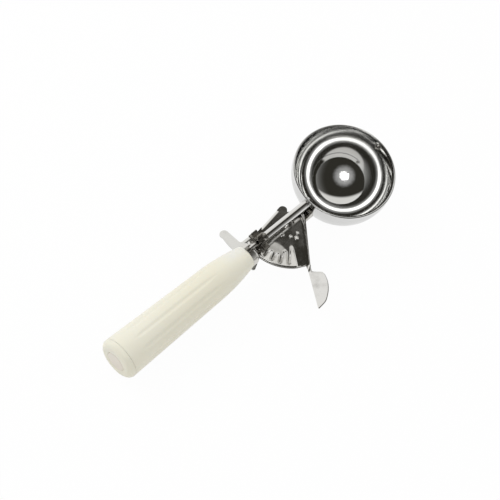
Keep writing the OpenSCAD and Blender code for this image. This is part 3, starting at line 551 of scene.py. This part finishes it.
def fan_angle(i, r):
    """Angle of a column of the fan: even over the teeth, drawn in to the straight edges at both ends."""
    left, right = edge_angle(r), fold_angle(r)
    if i <= EVEN_FROM:
        return left + (EVEN_A - left) * (0.02 * min(i, 1) + 0.98 * max(i - 1, 0) / 9 if i else 0)
    if i <= EVEN_TO:
        return even_angle(i)
    k = (i - EVEN_TO) / 24
    start = even_angle(EVEN_TO)
    return start + (right - start) * (min(k * 24 / 23, 1.0) * 0.98 + (0.02 if i == 196 else 0))


# Direction in which the hub's round front meets the turned-up edge.
HUB_FRONT = 360 + FOLD_A + math.degrees(math.acos(FOLD_IN / HUB_R))


def hub_reach(a):
    """Radius at which the flat hub ends in a direction, inside the bends."""
    a = (a - 50.4) % 360 + 50.4
    if a < 77.2 or a > 410.4 - 1e-6:
        off = EAR.x * cosd(a) + EAR.y * sind(a)
        return off + math.sqrt(max(EAR_R ** 2 - (EAR.x ** 2 + EAR.y ** 2 - off * off), 0.0))
    if a < 88.8:
        return (EDGE_IN + EDGE_R) / cosd(a - EDGE_A)
    if a < 158.7:
        return min(EDGE_IN / cosd(a - EDGE_A), MID_R)
    if a < fold_angle(MID_R):
        return MID_R
    if a < HUB_FRONT:
        return FOLD_IN / cosd(a - FOLD_A)
    if a < 368.0:
        return HUB_R
    return 6.61 / cosd(a - 360 - 62.9)


def thumb_lever():
    """The lever, in one stamping: grids for hub, fan, thumb tab and edge, joined, then given thickness."""
    across = [fan_angle(i, MID_R) for i in range(FAN_COLUMNS)]
    fold_start = fold_angle(MID_R)
    around = list(across)
    around += [fold_start + (282.0 - fold_start) * (k + 1) / 24 for k in range(24)]
    around += [282.0 + (HUB_FRONT - 282.0) * (k + 1) / 34 for k in range(34)]
    around += [HUB_FRONT + (368.0 - HUB_FRONT) * (k + 1) / 2 for k in range(2)]
    around += [368.0 + (410.3 - 368.0) * (k + 1) / 14 for k in range(14)]
    around += [410.5 + (437.2 - 410.5) * k / 22 for k in range(23)]
    around += [437.2 + (448.7 - 437.2) * (k + 1) / 6 for k in range(6)]
    left_zone = [448.9 + (518.6 - 448.9) * k / 40 for k in range(41)]
    left_zone[-1] = 360 + edge_angle(MID_R)
    around += left_zone
    shares = [0, 0.08, 0.16, 0.24, 0.32] + [0.36 + 0.0155 * k for k in range(26)] + [0.8, 0.88, 0.96, 1.0]

    def hub_place(i, j):
        a = around[i]
        r = STUD_HOLE_R + (hub_reach(a) - STUD_HOLE_R) * shares[j]
        return PIVOT + r * unit(a) + Vector((0, 0, fan_height(r, a % 360)))

    radii = [MID_R + 0.5 * k for k in range(5)] + [20.0 + 0.2 * k for k in range(1, 56)]
    radii += [31.1 + 0.15 * k for k in range(1, 12)] + [32.82, 32.88, 32.94, 32.98, 33.0]

    def fan_radius(j, a):
        return MID_R + (radii[j] - MID_R) * (rim_at(a) - MID_R) / (RIM_R - MID_R)

    def fan_place(i, j):
        r = radii[j] if i < 140 else fan_radius(j, even_angle(i))
        a = fan_angle(i, r)
        return PIVOT + r * unit(a) + Vector((0, 0, fan_height(r, a)))

    out_f, along_f = unit(FOLD_A), unit(FOLD_A + 90)
    bend_len = FOLD_R * math.radians(FOLD_TURN)
    foot = FOLD_R * math.tan(math.radians(FOLD_TURN / 2))
    tab_face = Vector((-0.424, 0.401, 0.811))      # the way the thumb tab faces
    runs = [FOLD_IN * math.tan(math.radians(a - 360 - FOLD_A)) for a in reversed(around)
            if fold_start - 1e-6 <= a <= HUB_FRONT + 1e-6]
    last_column = even_angle(FAN_COLUMNS - 1)
    runs += [-math.sqrt(fan_radius(j, last_column) ** 2 - FOLD_IN ** 2) for j in range(1, len(radii))]
    corner = -math.sqrt(FAN_R ** 2 - (FOLD_IN + foot) ** 2)
    end = corner - 31.0
    run = runs[-1]
    for stop, step in ((corner - 5, 0.3), (corner - 29.0, 0.5), (end + 0.16, 0.15)):
        while run > stop:
            run -= step
            runs.append(run)
    runs.append(end)
    # the tab's free side: distance past the fan's corner, width of the turned-up sheet
    outline = ((0.3, 1.9), (0, 1.9), (-2.4, 2.0), (-4.9, 2.8), (-5.9, 3.9), (-8.6, 10.8), (-9.5, 11.9),
               (-11, 12.7), (-13.3, 13.5), (-17, 14.2), (-21.7, 13.8), (-25.9, 12.1), (-28.3, 10.4),
               (-30, 7.2), (-31, 4.8), (-31.3, 4.0))

    def far_side(down):
        """Width of the thumb tab's free side at a distance past the fan's corner."""
        for k in range(1, len(outline) - 2):
            if down >= outline[k + 1][0]:
                break
        (x0, y0), (x1, y1), (x2, y2), (x3, y3) = outline[k - 1:k + 3]
        t = (down - x1) / (x2 - x1)
        m1, m2 = (y2 - y0) / (x2 - x0) * (x2 - x1), (y3 - y1) / (x3 - x1) * (x2 - x1)
        return ((2 * t ** 3 - 3 * t * t + 1) * y1 + (t ** 3 - 2 * t * t + t) * m1
                + (3 * t * t - 2 * t ** 3) * y2 + (t ** 3 - t * t) * m2)

    def tab_place(i, j):
        t = runs[j]
        down = t - corner
        if down >= 0:
            low, wide = 0.0, 1.75 + 0.5 * min(max((down - 1) / (4.34 - 1 - corner), 0.0), 1.0)
        else:
            near = -0.3 + 0.154 * -down
            low = max((near + 0.24) / 0.613, 0.0) * bend_len if near < foot else bend_len + near - foot
            wide = far_side(down)
        high = bend_len + wide - foot
        share = i / 30
        s = low + (high - low) * share
        if s < bend_len:
            turn = s / FOLD_R
            out, up = FOLD_R * math.sin(turn), FOLD_R * (1 - math.cos(turn))
        else:
            turn = math.radians(FOLD_TURN)
            out = FOLD_R * math.sin(turn) + (s - bend_len) * math.cos(turn)
            up = FOLD_R * (1 - math.cos(turn)) + (s - bend_len) * math.sin(turn)
        # the free edge is broken, and the tab is dished a little for the thumb
        sink = 0.14 * (1 - math.sqrt(1 - min(max(1 - (high - s) / 0.2, 0.0), 1.0) ** 2)) if i < 30 else 0.14
        sink += 0.3 * smooth(-down, 9.0, 16.0) * (1 - (2 * share - 1) ** 2)
        # the edge beside the fan is one wide curve, which flattens out into the tab
        curve = min(s / SWEEP_R, SWEEP_TURN)
        sweep = 1 - smooth(-down, 0.0, 5.0)
        out += sweep * (SWEEP_R * math.sin(curve) - out)
        up += sweep * (SWEEP_R * (1 - math.cos(curve)) - up)
        turn += sweep * (curve - turn)
        out += sink * math.sin(turn)
        up -= sink * math.cos(turn)
        if t > 3.0:
            t = 3.0 + (t - 3.0) * (math.sqrt(HUB_R ** 2 - (FOLD_IN + out) ** 2) - 3.0) / (
                math.sqrt(HUB_R ** 2 - FOLD_IN ** 2) - 3.0)
        spot = PIVOT + (FOLD_IN + out) * out_f + t * along_f + Vector((0, 0, up))
        # past its neck the tab leans further out, and turns a little
        past = spot - (PIVOT + (FOLD_IN + foot) * out_f + corner * along_f)
        slide = smooth(-down, 0.5, 7.0) * past.dot(tab_face) / VIEW_BACK.dot(tab_face)
        return spot - slide * VIEW_BACK

    out_e, along_e = unit(EDGE_A), unit(EDGE_A - 90)
    stations = [EDGE_IN / cosd(a - 360 - EDGE_A) for a in left_zone] + radii[1:]

    def edge_place(i, j):
        r = stations[j]
        first = left_zone[j] - 360 if j < len(left_zone) else edge_angle(r)
        run = EDGE_IN * math.tan(math.radians(EDGE_A - first))
        rolled = smooth(run, -15.6, -14.6)
        turn = math.radians(90 * min(i / 8, 1.0))
        out = (EDGE_R * i / 10) * (1 - rolled) + EDGE_R * math.sin(turn) * rolled
        down = (EDGE_R * (1 - math.cos(turn)) + 1.3 * max(i - 8, 0)) * rolled
        if j >= len(left_zone):
            run = -math.sqrt(r * r - (EDGE_IN + out) ** 2)
        drop = fan_height(r, first)
        return PIVOT + (EDGE_IN + out) * out_e + run * along_e + Vector((0, 0, drop - down))

    bm = bmesh.new()
    for columns, rows, place in (
            (len(around), len(shares), hub_place), (FAN_COLUMNS, len(radii), fan_place),
            (31, len(runs), tab_place), (11, len(stations), edge_place)):
        add_grid(bm, columns, rows, place)
    bmesh.ops.remove_doubles(bm, verts=bm.verts, dist=0.004)
    bmesh.ops.recalc_face_normals(bm, faces=bm.faces)
    # the underside is a copy moved inwards by the sheet's thickness, square to the face
    face = set(bm.faces)
    under = bmesh.ops.extrude_face_region(bm, geom=list(bm.faces), use_keep_orig=True)["geom"]
    back = {f for f in under if isinstance(f, bmesh.types.BMFace)}
    for vert in under:
        if isinstance(vert, bmesh.types.BMVert):
            q = vert.co - PIVOT
            past_fold, past_edge = q.dot(out_f) - FOLD_IN, q.dot(out_e) - EDGE_IN
            way = Vector((0, 0, -1))
            if past_fold > 0:
                turn = min(math.asin(min(past_fold / SWEEP_R, 1.0)), SWEEP_TURN)
                way = out_f * math.sin(turn) - Vector((0, 0, math.cos(turn)))
                beyond = smooth(-q.dot(along_f) + corner, 0.5, 7.0)
                way = (way * (1 - beyond) - tab_face * beyond).normalized()
            elif past_edge > 0 and q.z < -0.02:
                turn = math.asin(min(past_edge / EDGE_R, 1.0))
                way = -out_e * math.sin(turn) - Vector((0, 0, math.cos(turn)))
            vert.co += SHEET * way
    bmesh.ops.recalc_face_normals(bm, faces=bm.faces)
    # the cut edge walls take the second material, whose dark tone is painted shade
    for f in bm.faces:
        if f not in face and f not in back:
            f.material_index = 1
    piece = finish_piece("pressed_thumb_lever", bm, LEVER_STEEL, "lever", ["thumb_lever"],
                         sharp=62)
    piece.data.materials.append(SHADED_EDGE_STEEL)


# ---------------------------------------------------------------- other metal parts

def broken_edges(name, node, material, body, bevel=0.12, sharp=30):
    """The CAD solid with its sharp edges broken, as tumbling leaves them."""
    return finish_piece(name, solid_copy(node), material, body, [node], sharp=sharp, bevel=bevel)


grip()
end_cap()
bowl()
shank()
thumb_lever()
broken_edges("drawn_ferrule", "ferrule", CAP_STEEL, "scoop", 0.2)
broken_edges("pressed_frame", "frame_channel", FRAME_STEEL, "scoop", 0.22)
broken_edges("pressed_saddle", "tube_saddle", FRAME_STEEL, "scoop", 0.2)
broken_edges("pressed_finger_rest", "finger_rest", LEAF_STEEL, "scoop", 0.2)
broken_edges("milled_pinion", "pinion", GEAR_STEEL, "scraper", 0.12)
broken_edges("turned_collar", "pinion_collar", GEAR_STEEL, "scraper", 0.2)
broken_edges("spring_steel_blade", "scraper_blade", BLADE_STEEL, "scraper", 0.15)
for node, material in {
    "rod_bearing": GEAR_STEEL, "saddle_rivets": RIVET_STEEL, "rod_bush": RIVET_STEEL,
    "scraper_rod": ROD_STEEL, "pinion_pin": RIVET_STEEL, "blade_hub": RIVET_STEEL,
    "far_pivot_pin": RIVET_STEEL, "far_pivot_washer": RIVET_STEEL, "lever_stud": RIVET_STEEL,
    "stud_washer": RIVET_STEEL, "spring_bush": BRASS, "return_spring": WIRE_STEEL,
    "spring_post": RIVET_STEEL, "finger_rest_rivets": RIVET_STEEL,
}.items():
    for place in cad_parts[node].material_slots:
        place.material = material


# ---------------------------------------------------------------- studio

def white_sweep_floor():
    """A pale matt sweep. Seen straight on it is lit paper; it keeps the scoop's soft shadow."""
    material = bpy.data.materials.new("matt white studio paper")
    material.use_nodes = True
    tree = material.node_tree
    out = next(n for n in tree.nodes if n.type == "OUTPUT_MATERIAL")
    shader = next(n for n in tree.nodes if n.type == "BSDF_PRINCIPLED")
    shader.inputs["Base Color"].default_value = colour("#f4f4f3")
    shader.inputs["Roughness"].default_value = 0.9
    path = add_node(tree, "ShaderNodeLightPath")
    glow = add_node(tree, "ShaderNodeEmission", {}, {"Color": (1, 1, 1, 1), "Strength": 1.0})
    mirrored = add_node(tree, "ShaderNodeMath", {"operation": "MULTIPLY"}, {
        0: path.outputs["Is Glossy Ray"], 1: 0.7})
    share = add_node(tree, "ShaderNodeMath", {"operation": "MULTIPLY_ADD"}, {
        0: path.outputs["Is Camera Ray"], 1: 0.96, 2: mirrored.outputs[0]})
    both = add_node(tree, "ShaderNodeMixShader", {}, {
        "Fac": share.outputs[0], 1: shader.outputs[0], 2: glow.outputs[0]})
    tree.links.new(both.outputs[0], out.inputs["Surface"])
    bm = bmesh.new()
    bmesh.ops.create_grid(bm, x_segments=1, y_segments=1, size=4.0)
    mesh = bpy.data.meshes.new("studio_floor")
    bm.to_mesh(mesh)
    bm.free()
    mesh.materials.append(material)
    floor = bpy.data.objects.new("studio_floor", mesh)
    bpy.context.scene.collection.objects.link(floor)
    # the scoop lies on its bowl and on the edge of its butt
    slope = math.atan2((33.5 - 6.0) - 14.0, 198.0 - 4.0)
    floor.rotation_euler = (0, slope, 0)
    floor.location = (0.198 - 0.0335 * math.sin(slope), 0.001, (6.0 - 33.6) * MM)


def studio_world():
    """White paper sweep beyond the scoop, a dim room above and behind the camera, a lamp beside it."""
    world = bpy.data.worlds.new("studio")
    bpy.context.scene.world = world
    world.use_nodes = True
    tree = world.node_tree
    back = next(n for n in tree.nodes if n.type == "BACKGROUND")
    ray = add_node(tree, "ShaderNodeTexCoord").outputs["Generated"]

    def towards(direction, low, high):
        dot = add_node(tree, "ShaderNodeVectorMath", {"operation": "DOT_PRODUCT"}, {
            0: ray, 1: Vector(direction).normalized()})
        return ramp(tree, dot.outputs["Value"], low, high, 0.0, 1.0)

    dim = mixed(tree, towards((0.55, -0.15, -0.8), -0.5, 0.6),
                (0.036, 0.034, 0.028, 1), (0.66, 0.66, 0.65, 1))
    bright = mixed(tree, towards((0, 0, -1), -0.85, -0.2),
                   (0.88, 0.87, 0.84, 1), (1.02, 1.02, 1.02, 1))
    lit = mixed(tree, towards((0.627, 0.583, -0.517), -0.10, 0.03), dim, bright)
    # a lamp with a ragged edge, near the lens
    ragged = add_node(tree, "ShaderNodeTexNoise", {}, {
        "Vector": ray, "Scale": 12.0, "Detail": 3.0, "Roughness": 0.65}).outputs["Fac"]
    lamp_dot = add_node(tree, "ShaderNodeVectorMath", {"operation": "DOT_PRODUCT"}, {
        0: ray, 1: Vector((-0.42, -0.10, 0.90)).normalized()}).outputs["Value"]
    edge = add_node(tree, "ShaderNodeMath", {"operation": "MULTIPLY_ADD"}, {
        0: ragged, 1: 0.045, 2: lamp_dot})
    glow = mixed(tree, ramp(tree, edge.outputs[0], 0.9, 1.02, 0.0, 0.5), lit, (1.0, 1.0, 1.0, 1))
    seen = mixed(tree, ramp(tree, edge.outputs[0], 1.0, 1.018, 0.0, 1.0), glow, (3.0, 3.0, 2.95, 1))
    path = add_node(tree, "ShaderNodeLightPath")
    soft = mixed(tree, path.outputs["Is Glossy Ray"], (0.76, 0.76, 0.76, 1), seen)
    whole = mixed(tree, path.outputs["Is Camera Ray"], soft, (1, 1, 1, 1))
    tree.links.new(whole, back.inputs["Color"])


def area_lamp(name, place, target, size, power):
    lamp = bpy.data.lights.new(name, "AREA")
    lamp.shape = "DISK"
    lamp.size = size
    lamp.energy = power
    made = bpy.data.objects.new(name, lamp)
    made.location = place
    made.rotation_euler = (Vector(target) - Vector(place)).to_track_quat("-Z", "Y").to_euler()
    made.visible_glossy = False
    bpy.context.scene.collection.objects.link(made)


def camera():
    lens = bpy.data.cameras.new("studio_camera")
    lens.sensor_width = 36.0
    lens.lens = 2300 / 500 * 36.0
    lens.clip_end = 20.0
    seen_from = bpy.data.objects.new("studio_camera", lens)
    turn = Matrix((VIEW_RIGHT, VIEW_UP, VIEW_BACK)).transposed().to_4x4()
    turn = turn.to_quaternion().to_matrix().to_4x4()
    seen_from.matrix_world = Matrix.Translation(Vector((-455.5, -277.9, 1302.3)) * MM) @ turn
    bpy.context.scene.collection.objects.link(seen_from)
    bpy.context.scene.camera = seen_from


white_sweep_floor()
studio_world()
area_lamp("key_lamp", (-0.1, 1.0, 0.9), (0.1, 0, 0), 0.7, 5.6)
area_lamp("fill_lamp", (0.6, -0.6, 0.9), (0.12, 0, 0), 0.9, 0.8)
camera()
bpy.context.scene.view_settings.view_transform = "Standard"
